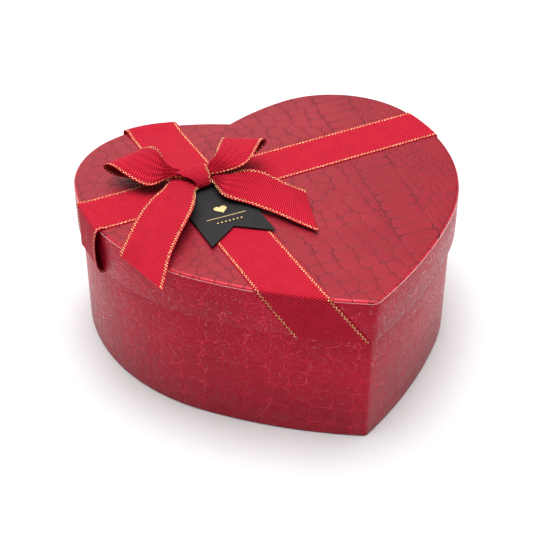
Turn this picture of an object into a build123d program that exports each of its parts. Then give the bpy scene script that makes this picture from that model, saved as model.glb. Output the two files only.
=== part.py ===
from build123d import *
from math import atan2, cos, degrees, hypot, radians, sin, sqrt, tan
import os

# Lid outline: a heart of four tangent arcs on each side of X = 0, tip towards -Y
lid_width = 190.0
cleft_radius = 131.7
lobe_radius = 49.5
shoulder_radius = 105.5
side_radius = 247.2
tip_radius = 4.7
least_tip_radius = 0.6
lobe_start = 100.6
lobe_end = 12.1
shoulder_end = -44.4

# Heights
box_height = 80.5
skirt_depth = 22.2

# Sheet thicknesses
paper = 0.2
wall_board = 1.6
floor_board = 1.8
skirt_board = 1.0
top_board = 2.0

# Paper edges and fits
lid_clearance = 0.3
seam_gap = 0.1
rim_turn_in = 16.0
lining_drop = 8.0
foot_turn_under = 12.0
foot_paper_margin = 3.0
skirt_reveal = 1.2
skirt_turn_in = 14.0
top_turn_down = 9.0
top_edge_radius = 0.9

# Ribbon bands, crossing left of the middle
ribbon_width = 27.0
ribbon_thickness = 0.4
crossing_x = -36.4
crossing_y = 26.1
long_band_angle = 93.1
cross_band_angle = 4.9
band_ramp = 5.0
band_tuck = 8.0
loose_lap = 4.0
loose_fold = 1.4
loose_turn = -6.0
loose_tuck = 1.4

# Tag and the tie it hangs on
tag_width = 32.0
tag_length = 52.5
tag_notch = 11.5
tag_thickness = 0.5
tag_shoulder = 7.0
tag_corner = 10.0
tag_turn = 2.0
tag_gap = 0.3
tack_diameter = 2.0
tack_clearance = 0.4

# Knot: a short wrap of doubled ribbon round the loops and the tails, its plan a skew four-sided one
knot_front_left = 3.6
knot_front_right = 2.9
knot_back_left = 11.0
knot_back_right = 6.6
knot_depth = 15.0
knot_height = 7.0
knot_wrap = 0.8
knot_turn = 7.0
knot_corner = 3.4
knot_gap = 0.5

# Bow ribbons from the crossing: X and Y of the middle as shares of the bow's half width, Z as a share of
# the knot's height, turn and tilt of the width in degrees, and the share of the ribbon's width that
# its gathers leave. All four start inside the knot, the tails under the loops.
bow_half_width = 30.0
tail_left_path = [
    (-0.040, -0.040, 0.171, 95, 0, 0.290),
    (-0.260, -0.053, 0.500, 106, -6, 0.480),
    (-0.407, -0.227, 0.700, 114, -9, 0.650),
    (-0.507, -0.433, 0.743, 119, -8, 0.750),
    (-0.693, -0.647, 0.714, 123, -6, 0.900),
    (-0.920, -0.897, 0.614, 125, -5, 0.950),
    (-1.177, -1.197, 0.400, 126, -4, 0.950),
    (-1.430, -1.537, 0.143, 122, -2, 0.965),
    (-1.663, -1.930, -0.071, 111, 0, 1.120),
]
tail_right_path = [
    (0.040, -0.033, 0.171, 78, 0, 0.250),
    (0.200, -0.093, 0.314, 60, 4, 0.250),
    (0.287, -0.320, 0.471, 48, 10, 0.480),
    (0.360, -0.447, 0.600, 46, 14, 0.640),
    (0.487, -0.513, 0.600, 46, 13, 0.790),
    (0.673, -0.613, 0.457, 47, 9, 0.890),
    (0.860, -0.813, 0.271, 50, 4, 0.945),
    (1.063, -1.103, 0.129, 58, 2, 0.995),
    (1.340, -1.467, 0.071, 72, 0, 1.190),
]
loop_left_path = [
    (-0.033, 0.053, 0.414, -90, 0, 0.190),
    (-0.410, 0.073, 0.629, -105, 0, 0.160),
    (-0.550, 0.407, 0.429, -124, 0, 0.520),
    (-0.883, 0.780, 0.271, -150, 2, 0.830),
    (-1.000, 0.890, 0.743, -157, 5, 0.945),
    (-0.940, 0.733, 1.314, -153, 0, 0.865),
    (-0.673, 0.313, 1.171, -124, -24, 0.790),
    (-0.387, 0.067, 0.771, -100, 0, 0.150),
    (-0.033, 0.047, 0.671, -90, 0, 0.180),
]
loop_right_path = [
    (0.033, 0.033, 0.343, -90, 0, 0.210),
    (0.207, 0.080, 0.457, -80, 0, 0.220),
    (0.450, 0.227, 0.414, -60, 3, 0.560),
    (0.820, 0.433, 0.557, -52, 12, 0.810),
    (1.007, 0.527, 1.043, -52, 13, 0.945),
    (0.907, 0.417, 1.586, -53, 13, 0.885),
    (0.573, 0.013, 1.414, -65, 3, 0.720),
    (0.240, 0.007, 0.843, -86, -2, 0.270),
    (0.033, 0.033, 0.714, -90, 0, 0.190),
]
steps_per_stretch = 4

# Sizes that follow from the ones above
skirt_inside = 3 * paper + skirt_board
overhang = skirt_inside + ribbon_thickness + lid_clearance
wall_inside = overhang + 2 * paper + wall_board
rim_z = box_height - 2 * paper - top_board
skirt_z = box_height - skirt_depth
floor_z = 2 * paper + floor_board
crossing_z = box_height + 2 * ribbon_thickness
tag_z = crossing_z + tag_gap
knot_z = tag_z + tag_thickness + knot_gap
board_bevel = (2 - sqrt(2)) * (top_edge_radius - paper)


def heart_arcs(inset):
    """Right half, cleft to tip: each arc's centre, radius, start and end angle in degrees."""
    lobe_x = lid_width / 2 - shoulder_radius + (shoulder_radius - lobe_radius) * cos(radians(lobe_end))
    centres = [None, (lobe_x, 0.0)]
    steps = [
        (0, 1, lobe_radius - cleft_radius, lobe_start),
        (2, 1, lobe_radius - shoulder_radius, lobe_end),
        (3, 2, shoulder_radius - side_radius, shoulder_end),
    ]
    centres += [None, None]
    for own, other, reach, angle in steps:
        x, y = centres[other]
        centres[own] = (x + reach * cos(radians(angle)), y + reach * sin(radians(angle)))
    side_x, side_y = centres[3]

    def tip_of(gap):
        radius = max(tip_radius - gap, least_tip_radius)
        return radius, side_y - sqrt((side_radius - gap - radius) ** 2 - side_x**2)

    lid_tip, lid_tip_y = tip_of(0)
    middle_y = (lobe_radius + lid_tip_y - lid_tip) / 2
    tip, tip_y = tip_of(inset)
    cleft_x, cleft_y = centres[0]
    cleft_r = cleft_radius - inset
    cleft_angle = degrees(atan2(sqrt(cleft_r**2 - cleft_x**2), -cleft_x))
    tip_angle = degrees(atan2(tip_y - side_y, -side_x))
    radii = [cleft_radius, lobe_radius, shoulder_radius, side_radius]
    turns = [cleft_angle, lobe_start, lobe_end, shoulder_end, tip_angle]
    arcs = []
    for i, radius in enumerate(radii):
        x, y = centres[i]
        arcs.append((x, y - middle_y, radius - inset, turns[i], turns[i + 1]))
    arcs.append((0.0, tip_y - middle_y, tip, tip_angle, -90.0))
    return arcs


def on_arc(arc, share):
    x, y, radius, start, end = arc
    angle = radians(start + (end - start) * share)
    return x + radius * cos(angle), y + radius * sin(angle)


def heart(inset, z):
    right = []
    left = []
    for arc in heart_arcs(inset):
        points = [on_arc(arc, share) for share in (0, 0.5, 1)]
        right.append(ThreePointArc(*[(x, y, z) for x, y in points]))
        left.append(ThreePointArc(*[(-x, y, z) for x, y in points]))
    return make_face(Curve() + right + left)


def plate(inset, low, high):
    return extrude(heart(inset, low), amount=high - low, dir=(0, 0, 1))


def ring(outside, inside, low, high):
    return plate(outside, low, high) - plate(inside, low, high)


def half_of(solid, side):
    """The half on one side of X = 0, short of the butt joint by half of the seam."""
    reach = 2 * lid_width
    block = Box(reach, 2 * reach, 2 * reach, align=(Align.MIN, Align.CENTER, Align.CENTER))
    if side < 0:
        block = Rot(0, 0, 180) * block
    return solid & (Pos(side * seam_gap / 2, 0, 0) * block)


def top_edges(solid):
    return solid.edges().group_by(Axis.Z)[-1]


# Tray
base_foot_paper = plate(overhang + foot_paper_margin, 0, paper)
base_wall = ring(overhang + paper, overhang + paper + wall_board, 2 * paper, rim_z - paper)
base_wall_left = half_of(base_wall, -1)
base_wall_right = half_of(base_wall, 1)
base_floor_board = plate(overhang + paper + wall_board, 2 * paper, floor_z)
base_wrap = (
    ring(overhang, overhang + paper, paper, rim_z)
    + ring(overhang, overhang + foot_turn_under, paper, 2 * paper)
    + ring(overhang, wall_inside, rim_z - paper, rim_z)
    + ring(wall_inside - paper, wall_inside, rim_z - rim_turn_in, rim_z)
)
base_wall_lining = ring(wall_inside, wall_inside + paper, floor_z, rim_z - lining_drop)
base_floor_lining = plate(wall_inside + paper, floor_z, floor_z + paper)

# Lid
ceiling_z = rim_z + paper
lid_top_board = plate(2 * paper, ceiling_z, box_height - paper)
lid_top_board = chamfer(top_edges(lid_top_board), board_bevel)
lid_top_wrap = plate(paper, box_height - top_turn_down, box_height)
lid_top_wrap = fillet(top_edges(lid_top_wrap), top_edge_radius)
lid_top_wrap -= plate(2 * paper, box_height - top_turn_down, ceiling_z)
lid_top_wrap -= lid_top_board
lid_skirt = ring(2 * paper, 2 * paper + skirt_board, skirt_z + paper, ceiling_z)
lid_skirt_left = half_of(lid_skirt, -1)
lid_skirt_right = half_of(lid_skirt, 1)
lid_skirt_wrap = (
    ring(0, paper, skirt_z, box_height - skirt_reveal)
    + ring(0, skirt_inside, skirt_z, skirt_z + paper)
    + ring(skirt_inside - paper, skirt_inside, skirt_z, skirt_z + skirt_turn_in)
)
lid_lining = plate(skirt_inside, rim_z, ceiling_z)


# Ribbon bands
def edge_hit(angle):
    """Where a band from the crossing meets the lid's outline: the point and the outline's direction."""
    points = []
    for arc in heart_arcs(0):
        points += [on_arc(arc, i / 24) for i in range(24)]
    points += [(-x, y) for x, y in reversed(points)]
    dx, dy = cos(radians(angle)), sin(radians(angle))
    best = None
    for (ax, ay), (bx, by) in zip(points, points[1:] + points[:1]):
        ex, ey = bx - ax, by - ay
        cross = dx * ey - dy * ex
        if abs(cross) < 1e-9:
            continue
        reach = ((ax - crossing_x) * ey - (ay - crossing_y) * ex) / cross
        share = ((ax - crossing_x) * dy - (ay - crossing_y) * dx) / cross
        if reach > 0 and 0 <= share <= 1 and (best is None or reach > best[0]):
            best = (reach, ex / hypot(ex, ey), ey / hypot(ex, ey))
    reach, ex, ey = best
    return crossing_x + reach * dx, crossing_y + reach * dy, ex, ey


def band_end(angle):
    """The ribbon folded over the lid's edge, down the skirt at the fold's slant and up inside it."""
    x, y, ex, ey = edge_hit(angle)
    nx, ny = ey, -ex
    dx, dy = cos(radians(angle)), sin(radians(angle))
    if nx * dx + ny * dy < 0:
        nx, ny = -nx, -ny
    slant = (dx * ex + dy * ey) / (dx * nx + dy * ny)
    half = ribbon_width / 2 * sqrt(1 + slant**2)
    drop = skirt_depth + ribbon_thickness
    wall = Plane(origin=(x, y, box_height), x_dir=(ex, ey, 0), z_dir=(nx, ny, 0))
    down = -1 if wall.y_dir.Z > 0 else 1
    shift = drop * slant
    flap = [(-half, 0), (half, 0), (half + shift, down * drop), (-half + shift, down * drop)]
    reach = ribbon_width / 2
    cut = extrude(wall * make_face(Polyline(*flap, close=True)), amount=reach, both=True)
    foot_z = skirt_z - ribbon_thickness
    tuck_inside = skirt_inside + ribbon_thickness
    skin = ring(-ribbon_thickness, 0, foot_z, box_height)
    skin += ring(-ribbon_thickness, tuck_inside, foot_z, skirt_z)
    skin += ring(skirt_inside, tuck_inside, foot_z, skirt_z + band_tuck)
    return skin & cut


def band_top(angle, rise):
    """The stretch across the lid's top, stepped up by rise over the crossing."""
    reach = lid_width
    skew = radians(abs(abs(long_band_angle - cross_band_angle) - 90))
    near = ribbon_width / 2 * (1 / cos(skew) + tan(skew)) + ribbon_thickness
    far = near + band_ramp
    under = [(-reach, 0), (-far, 0), (-near, rise), (near, rise), (far, 0), (reach, 0)]
    if rise == 0:
        under = [(-reach, 0), (reach, 0)]
    over = [(x, z + ribbon_thickness) for x, z in reversed(under)]
    middle = (crossing_x, crossing_y, box_height)
    along = (cos(radians(angle)), sin(radians(angle)), 0)
    across = (sin(radians(angle)), -cos(radians(angle)), 0)
    side = Plane(origin=middle, x_dir=along, z_dir=across)
    strip = extrude(side * make_face(Polyline(*under, *over, close=True)), amount=ribbon_width / 2, both=True)
    return strip & plate(-ribbon_thickness, box_height, box_height + rise + ribbon_thickness)


def between(a, b, c, d, share):
    """A smooth curve through b and c, with a and d beyond them."""
    bend = 2 * a - 5 * b + 4 * c - d
    twist = 3 * b - a - 3 * c + d
    return (2 * b + (c - a) * share + bend * share**2 + twist * share**3) / 2


def stations(path):
    first = [2 * p - q for p, q in zip(path[0], path[1])]
    last = [2 * p - q for p, q in zip(path[-1], path[-2])]
    knots = [first] + path + [last]
    found = []
    for i in range(1, len(knots) - 2):
        for step in range(steps_per_stretch):
            values = zip(*knots[i - 1 : i + 3])
            found.append([between(*four, step / steps_per_stretch) for four in values])
    found.append(list(path[-1]))
    return found


def ribbon_sections(path, origin):
    """Corners of thin sections, each square to the way the ribbon runs."""
    rows = stations(path)
    middles = [origin + Vector(*row[:3]) for row in rows]
    sections = []
    for i, (x, y, z, turn, tilt, share) in enumerate(rows):
        run = middles[min(i + 1, len(rows) - 1)] - middles[max(i - 1, 0)]
        level = cos(radians(tilt))
        across = Vector(level * cos(radians(turn)), level * sin(radians(turn)), sin(radians(tilt)))
        up = run.cross(across).normalized() * (ribbon_thickness / 2)
        half = across * (ribbon_width * share / 2)
        middle = middles[i]
        sections.append([middle + half + up, middle - half + up, middle - half - up, middle + half - up])
    return sections


def outline(*corners):
    return Wire.make_polygon(corners, close=True)


def folded_strip(sections):
    """A thin strip of flat facets, split the same way above and below so that it keeps its thickness."""
    faces = [Face(outline(*sections[0])), Face(outline(*sections[-1]))]
    for near, far in zip(sections, sections[1:]):
        for first, second in [(0, 1), (3, 2), (0, 3), (1, 2)]:
            faces.append(Face(outline(near[first], near[second], far[second])))
            faces.append(Face(outline(near[first], far[second], far[first])))
    return Solid(Shell(faces))


def loose_end(angle):
    """The slack end: it stands off the skirt, more at the front, and is stuck under the lid's rim."""
    x, y, ex, ey = edge_hit(angle)
    dx, dy = cos(radians(angle)), sin(radians(angle))
    rest = ribbon_thickness / 2
    foot = -skirt_depth - ribbon_thickness
    profile = [
        (-loose_lap, rest, 0),
        (-0.25 * loose_lap, rest, 0),
        (0.2 * loose_fold, 0, 0.2),
        (0.5 * loose_fold, -0.1 * skirt_depth, 0.5),
        (0.85 * loose_fold, -0.3 * skirt_depth, 0.9),
        (loose_fold, -0.6 * skirt_depth, 1),
        (0.8 * loose_fold, -0.9 * skirt_depth, 0.8),
        (0.1 * loose_fold, foot, 0.2),
        (-loose_tuck, foot, 0),
    ]
    path = [(out * dx, out * dy, z, angle - 90 + loose_turn * share, 0, 1) for out, z, share in profile]
    sections = ribbon_sections(path, Vector(x, y, box_height))
    return Solid.make_loft([outline(*corners) for corners in sections], ruled=True)


ribbon_band_long = (
    band_top(long_band_angle, ribbon_thickness) + band_end(long_band_angle) + band_end(long_band_angle + 180)
)
ribbon_band_cross = (
    band_top(cross_band_angle, 0) + band_end(cross_band_angle) + loose_end(cross_band_angle + 180)
)

# Bow
def bow_ribbon(path):
    rows = [(x * bow_half_width, y * bow_half_width, z * knot_height, *rest) for x, y, z, *rest in path]
    return folded_strip(ribbon_sections(rows, Vector(crossing_x, crossing_y, knot_z)))


bow_tail_left = bow_ribbon(tail_left_path)
bow_tail_right = bow_ribbon(tail_right_path)
bow_loop_left = bow_ribbon(loop_left_path)
bow_loop_right = bow_ribbon(loop_right_path)
knot_plane = Plane(
    origin=(crossing_x, crossing_y, knot_z + knot_height / 2),
    x_dir=(-sin(radians(knot_turn)), cos(radians(knot_turn)), 0),
    z_dir=(cos(radians(knot_turn)), sin(radians(knot_turn)), 0),
)
knot_outside = RectangleRounded(knot_depth, knot_height, knot_corner)
knot_inside = offset(knot_outside, -knot_wrap)
bow_knot = extrude(knot_plane * (knot_outside - knot_inside), amount=2 * knot_depth, both=True)
knot_plan = Polyline(
    (-knot_front_left, -knot_depth / 2),
    (knot_front_right, -knot_depth / 2),
    (knot_back_right, knot_depth / 2),
    (-knot_back_left, knot_depth / 2),
    close=True,
)
knot_place = Pos(crossing_x, crossing_y, knot_z) * Rot(0, 0, knot_turn)
bow_knot &= extrude(knot_place * make_face(knot_plan), amount=knot_height)

# Tag on its tie
bow_tack = Pos(crossing_x, crossing_y, crossing_z) * Cylinder(
    tack_diameter / 2, knot_z - crossing_z, align=(Align.CENTER, Align.CENTER, Align.MIN)
)
tag_half = tag_width / 2
tag_outline = Polyline(
    (-tag_half, tag_shoulder),
    (-tag_half, -tag_length),
    (0, -tag_length + tag_notch),
    (tag_half, -tag_length),
    (tag_half, tag_shoulder),
    close=True,
)
tag_sheet = make_face(tag_outline)
tag_sheet = fillet(tag_sheet.vertices().group_by(Axis.Y)[-1], tag_corner)
tag_sheet -= Circle(tack_diameter / 2 + tack_clearance)
tag_card = extrude(Pos(crossing_x, crossing_y, tag_z) * Rot(0, 0, tag_turn) * tag_sheet, amount=tag_thickness)

nodes = {
    "base_floor_board": base_floor_board,
    "base_wall_left": base_wall_left,
    "base_wall_right": base_wall_right,
    "base_wrap": base_wrap,
    "base_foot_paper": base_foot_paper,
    "base_wall_lining": base_wall_lining,
    "base_floor_lining": base_floor_lining,
    "lid_top_board": lid_top_board,
    "lid_skirt_left": lid_skirt_left,
    "lid_skirt_right": lid_skirt_right,
    "lid_top_wrap": lid_top_wrap,
    "lid_skirt_wrap": lid_skirt_wrap,
    "lid_lining": lid_lining,
    "ribbon_band_long": ribbon_band_long,
    "ribbon_band_cross": ribbon_band_cross,
    "bow_loop_left": bow_loop_left,
    "bow_loop_right": bow_loop_right,
    "bow_tail_left": bow_tail_left,
    "bow_tail_right": bow_tail_right,
    "bow_knot": bow_knot,
    "bow_tack": bow_tack,
    "tag_card": tag_card,
}

os.makedirs("parts", exist_ok=True)
for name, solid in nodes.items():
    export_step(solid, f"parts/{name}.step")
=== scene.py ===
import bpy
import bmesh
import math
import random
from mathutils import Matrix, Vector


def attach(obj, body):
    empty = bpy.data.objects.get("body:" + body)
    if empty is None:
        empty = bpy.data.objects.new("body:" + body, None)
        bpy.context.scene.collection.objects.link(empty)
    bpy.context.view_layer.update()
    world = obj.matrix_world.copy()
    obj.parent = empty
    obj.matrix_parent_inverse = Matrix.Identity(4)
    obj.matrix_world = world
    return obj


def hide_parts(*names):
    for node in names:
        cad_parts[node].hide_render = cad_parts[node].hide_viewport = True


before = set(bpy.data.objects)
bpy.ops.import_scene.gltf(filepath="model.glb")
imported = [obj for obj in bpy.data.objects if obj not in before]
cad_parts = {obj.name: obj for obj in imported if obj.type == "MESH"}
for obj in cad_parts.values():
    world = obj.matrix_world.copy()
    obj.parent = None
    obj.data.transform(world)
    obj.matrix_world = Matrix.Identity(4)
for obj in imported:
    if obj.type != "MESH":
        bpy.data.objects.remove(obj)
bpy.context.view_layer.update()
mm = 0.001
random.seed(7)


class Flow:  # a socket's value, so that shader maths can be written out
    def __init__(self, finish, socket):
        self.finish = finish
        self.socket = socket

    def maths(self, operation, *values):
        return self.finish.node("ShaderNodeMath", {"operation": operation}, dict(enumerate(values)))

    def __add__(self, other):
        return self.maths("ADD", self, other)

    def __radd__(self, other):
        return self.maths("ADD", other, self)

    def __sub__(self, other):
        return self.maths("SUBTRACT", self, other)

    def __rsub__(self, other):
        return self.maths("SUBTRACT", other, self)

    def __mul__(self, other):
        return self.maths("MULTIPLY", self, other)

    def __rmul__(self, other):
        return self.maths("MULTIPLY", other, self)

    def __abs__(self):
        return self.maths("ABSOLUTE", self)

    def __lt__(self, other):
        return self.maths("LESS_THAN", self, other)

    def __gt__(self, other):
        return self.maths("GREATER_THAN", self, other)


class Finish:  # a material and the one way its nodes are made
    def __init__(self, name, **sockets):
        self.material = bpy.data.materials.new(name)
        self.material.use_nodes = True
        self.tree = self.material.node_tree
        self.shader = self.tree.nodes["Principled BSDF"]
        self.shade(**sockets)

    def node(self, kind, settings=None, sockets=None, output=0):
        made = self.tree.nodes.new(kind)
        for key, value in (settings or {}).items():
            setattr(made, key, value)
        for key, value in (sockets or {}).items():
            self.feed(made.inputs[key], value)
        return Flow(self, made.outputs[output])

    def feed(self, socket, value):
        if isinstance(value, Flow):
            self.tree.links.new(value.socket, socket)
        else:
            socket.default_value = value

    def shade(self, **sockets):
        for key, value in sockets.items():
            self.feed(self.shader.inputs[key.replace("_", " ")], value)

    def flat(self, name):  # a mesh's own flat layout, in millimetres
        place = self.node("ShaderNodeUVMap", {"uv_map": name})
        return self.stretch(place, (1000, 1000, 0))

    def solid(self):  # the place in the object, in millimetres
        place = self.node("ShaderNodeTexCoord", output="Object")
        return self.stretch(place, (1000, 1000, 1000))

    def stretch(self, place, times):
        return self.node("ShaderNodeVectorMath", {"operation": "MULTIPLY"}, {0: place, 1: times})

    def shift(self, place, by):
        return self.node("ShaderNodeVectorMath", {"operation": "ADD"}, {0: place, 1: by})

    def part(self, place, axis):
        return self.node("ShaderNodeSeparateXYZ", None, {0: place}, axis)

    def noise(self, place, size, detail=2.0, output="Fac"):
        sockets = {"Vector": place, "Scale": 1 / size, "Detail": detail}
        return self.node("ShaderNodeTexNoise", None, sockets, output)

    def cells(self, feature, sockets):
        settings = {"voronoi_dimensions": "2D", "feature": feature}
        return self.node("ShaderNodeTexVoronoi", settings, sockets)

    def wobble(self, place, *pushes):  # the place pushed about, each push as (size, amount)
        for size, amount in pushes:
            push = self.noise(place, size, output="Color")
            centred = self.shift(push, (-0.5, -0.5, -0.5))
            place = self.shift(place, self.stretch(centred, (amount, amount, amount)))
        return place

    def ease(self, value, low, high, start=0.0, end=1.0):
        sockets = {"Value": value, "From Min": low, "From Max": high, "To Min": start, "To Max": end}
        return self.node("ShaderNodeMapRange", {"interpolation_type": "SMOOTHSTEP"}, sockets)

    def blend(self, share, first, second):
        return self.node("ShaderNodeMix", {"data_type": "RGBA"}, {0: share, 6: first, 7: second}, 2)

    def bump(self, height, depth):
        sockets = {"Height": height, "Distance": depth * mm, "Strength": 1.0}
        self.shade(Normal=self.node("ShaderNodeBump", None, sockets))


def colour(red, green, blue):
    return (red, green, blue, 1.0)


box = {"height": 80.5, "skirtDepth": 22.2, "rim": 78.1, "overhang": 2.3, "paper": 0.2, "foldCut": 0.3}
skirtZ = box["height"] - box["skirtDepth"]


# Embossed paper: pillowed scales with thin grooves. The groove colour is painted shade on the top and
# painted highlight on the sides, and the side paper is painted brighter than the top to stand in for
# light.
# A field of scales is (wide, tall, how uneven), and a wobble is (size, amount).
scaleGrain = {
    "top": {
        "cell": colour(0.300, 0.011, 0.023),
        "deep": colour(0.252, 0.008, 0.018),
        # groove colour on the top: painted shade in the grooves
        "grooveShading": colour(0.10, 0.003, 0.008),
        # glint: painted glints on the grooves
        "paintedGlint": colour(0.17, 0.007, 0.013),
        # fold: painted highlight on the lid's rounded top edge
        "fold": colour(0.68, 0.035, 0.060),
        "foldHighlightDrop": (0.03, 0.35),
        "line": (0.82, 0.96),
        "wobble": ((26.0, 5.0), (6.0, 1.5)),
        "metal": 0.3,
        "sheen": 0.28,
        "spark": 0.2,
        "depth": 0.10,
    },
    "side": {
        # the side colours are painted brighter than the top's, standing in for light on the sides
        "cell": colour(0.40, 0.003, 0.023),
        "deep": colour(0.32, 0.002, 0.017),
        # groove colour on the sides: painted highlight on the groove walls
        "grooveShading": colour(0.56, 0.010, 0.038),
        # glint: painted glints on the groove walls
        "paintedGlint": colour(0.80, 0.09, 0.13),
        "line": (0.86, 0.98),
        "wobble": ((28.0, 6.0), (6.0, 1.6)),
        "metal": 0.5,
        "sheen": 0.26,
        "spark": 1.0,
        "depth": 0.12,
    },
    "plate": {"half": 9.8, "pitch": 7.2, "round": 2.8, "slope": 0.4, "lean": 0.145, "middle": 49.1},
    "large": (8.6, 8.0, 0.62),
    "middle": (7.0, 7.0, 0.7),
    "small": (4.4, 4.4, 0.8),
    "raised": {"middle": 0.04, "small": 0.1},
    "middleFrom": -22.0,
    "tile": (10.6, 9.4, 0.55),
    "pebble": (6.4, 6.0, 0.75),
    "pebbleFields": {"pitch": 236.0, "start": 0.9, "above": 0.35},
    "ridge": 8.0,
    "fill": (1.03, 1.28, 0.2),
    "faint": {"size": 17.0, "range": (0.32, 0.58, 0.35, 1.0)},
    "cloud": 24.0,
    "fleck": 0.5,
    "speck": {"size": 0.9, "range": (0.66, 0.74)},
    "dome": (1.0, 0.1),
    "tone": {"cloud": 0.7, "fleck": 0.3, "range": (0.32, 0.68)},
    "paintedGlintRange": (0.54, 0.68),
    "rough": {"plain": 0.47, "dome": 0.07, "fleck": 0.2, "fold": 0.12},
    "relief": {"dome": 0.55, "line": 0.4, "fleck": 0.10},
}


def scaleRidge(finish, place, field):  # 1 on the line between two scales, more where three meet
    wide, tall, uneven = scaleGrain[field]
    spot = finish.stretch(place, (1 / wide, 1 / tall, 0))
    sockets = {"Vector": spot, "Scale": 1.0, "Randomness": uneven}
    plain = finish.cells("F1", sockets)
    soft = finish.cells("SMOOTH_F1", {**sockets, "Smoothness": 1.0})
    return (plain - soft) * scaleGrain["ridge"]


def plateRidge(along, across):  # one row of long plates with round corners
    plate = scaleGrain["plate"]
    row = along.maths("PINGPONG", along, plate["pitch"] / 2)
    side = plate["half"] - abs(across)
    first = row.maths("MAXIMUM", plate["round"] - row, 0.0)
    second = side.maths("MAXIMUM", plate["round"] - side, 0.0)
    corner = first.maths("SQRT", first * first + second * second)
    return 1.0 - plate["slope"] * (plate["round"] - corner)


def pick(mask, first, second):  # first where the mask is 1
    return mask * first + (1 - mask) * second


def embossedPaper(look, place, ridge, fold=None):  # fold is 1 where the paper is folded over an edge
    finish = place.finish
    start, end, left = scaleGrain["fill"]
    line = finish.ease(ridge, *look["line"]) * finish.ease(ridge, start, end, 1.0, left)
    patch = finish.noise(place, scaleGrain["faint"]["size"])
    faint = finish.ease(patch, *scaleGrain["faint"]["range"])
    cloud = finish.noise(place, scaleGrain["cloud"])
    fleck = finish.noise(place, scaleGrain["fleck"], 3.0)
    dome = finish.ease(ridge, *scaleGrain["dome"])
    tones, uneven, relief = scaleGrain["tone"], scaleGrain["rough"], scaleGrain["relief"]
    tone = finish.ease(cloud * tones["cloud"] + fleck * tones["fleck"], *tones["range"])
    grit = finish.noise(place, scaleGrain["speck"]["size"], 0.0)
    speck = finish.ease(grit, *scaleGrain["speck"]["range"])
    body = finish.blend(tone, look["deep"], look["cell"])
    rough = uneven["plain"] - uneven["dome"] * dome + uneven["fleck"] * (fleck - 0.5)
    # where the paper folds over the lid's edge its colour is a painted highlight
    if fold:
        body = finish.blend(fold, body, look["fold"])
        rough = rough - uneven["fold"] * fold
    # painted glints on the grooves, placed by a fine noise
    paintedGlint = finish.ease(fleck, *scaleGrain["paintedGlintRange"])
    # the groove colour is painted shade on the top and painted highlight on the sides
    grooveShading = finish.blend(paintedGlint, look["grooveShading"], look["paintedGlint"])
    finish.shade(
        Base_Color=finish.blend(line * faint, body, grooveShading),
        Roughness=rough,
        Metallic=look["metal"],
        Specular_IOR_Level=look["sheen"],
        Coat_Weight=speck * look["spark"],
        Coat_Roughness=0.15,
    )
    height = dome * relief["dome"] - line * relief["line"] + fleck * relief["fleck"]
    finish.bump(height, look["depth"])
    return finish.material


def topPaper():
    finish = Finish("embossedPaperTop")
    look = scaleGrain["top"]
    spot = finish.solid()
    place = finish.wobble(spot, *look["wobble"])
    # the fold mask marks the lid's rounded top edge, which gets a painted highlight
    start, end = look["foldHighlightDrop"]
    fold = finish.ease(finish.part(spot, 2), box["height"] - start, box["height"] - end)
    x = finish.part(place, 0)
    y = finish.part(place, 1)
    plate = scaleGrain["plate"]
    across = x - plate["middle"] - plate["lean"] * y
    outside = abs(across) - plate["half"]
    large = scaleRidge(finish, place, "large")
    middle = scaleRidge(finish, place, "middle") + scaleGrain["raised"]["middle"]
    small = scaleRidge(finish, place, "small") + scaleGrain["raised"]["small"]
    scales = pick(across > 0, small, pick(x < scaleGrain["middleFrom"], middle, large))
    around = scales.maths("MAXIMUM", scales, 1.0 - plate["slope"] * outside)
    ridge = pick(outside < 0, plateRidge(y, across), around)
    return embossedPaper(look, place, ridge, fold)


def sidePaper():
    finish = Finish("embossedPaperSide")
    look = scaleGrain["side"]
    place = finish.wobble(finish.flat("flow"), *look["wobble"])
    fields = scaleGrain["pebbleFields"]
    turn = finish.part(place, 0) * (2 * math.pi / fields["pitch"]) + fields["start"]
    tiles = scaleRidge(finish, place, "tile")
    pebbles = scaleRidge(finish, place, "pebble")
    ridge = pick(turn.maths("COSINE", turn) > fields["above"], pebbles, tiles)
    return embossedPaper(look, place, ridge)


paperGrain = {"fibre": 0.6, "cloud": 18.0, "clouded": 0.6, "uneven": 0.12, "sheen": 0.3, "depth": 0.04}
cardGrain = {"fibre": 0.35, "cloud": 6.0, "clouded": 0.5, "uneven": 0.15, "sheen": 0.2, "depth": 0.03}


def plainPaper(name, tone, deep, rough, grain=paperGrain):
    finish = Finish(name)
    place = finish.solid()
    fibre = finish.noise(place, grain["fibre"], 4.0)
    cloud = finish.noise(place, grain["cloud"])
    mixed = cloud * grain["clouded"] + fibre * (1 - grain["clouded"])
    finish.shade(
        Base_Color=finish.blend(finish.ease(mixed, 0.3, 0.7), deep, tone),
        Roughness=rough + grain["uneven"] * (fibre - 0.5),
        Specular_IOR_Level=grain["sheen"],
    )
    finish.bump(fibre, grain["depth"])
    return finish.material


ribbonCloth = {
    "pitch": 1.0,
    "thread": 0.34,
    "wobble": (5.0, 0.3),
    "lit": colour(0.69, 0.016, 0.044),
    "shade": colour(0.25, 0.003, 0.013),
    "depth": 0.4,
}


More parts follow.
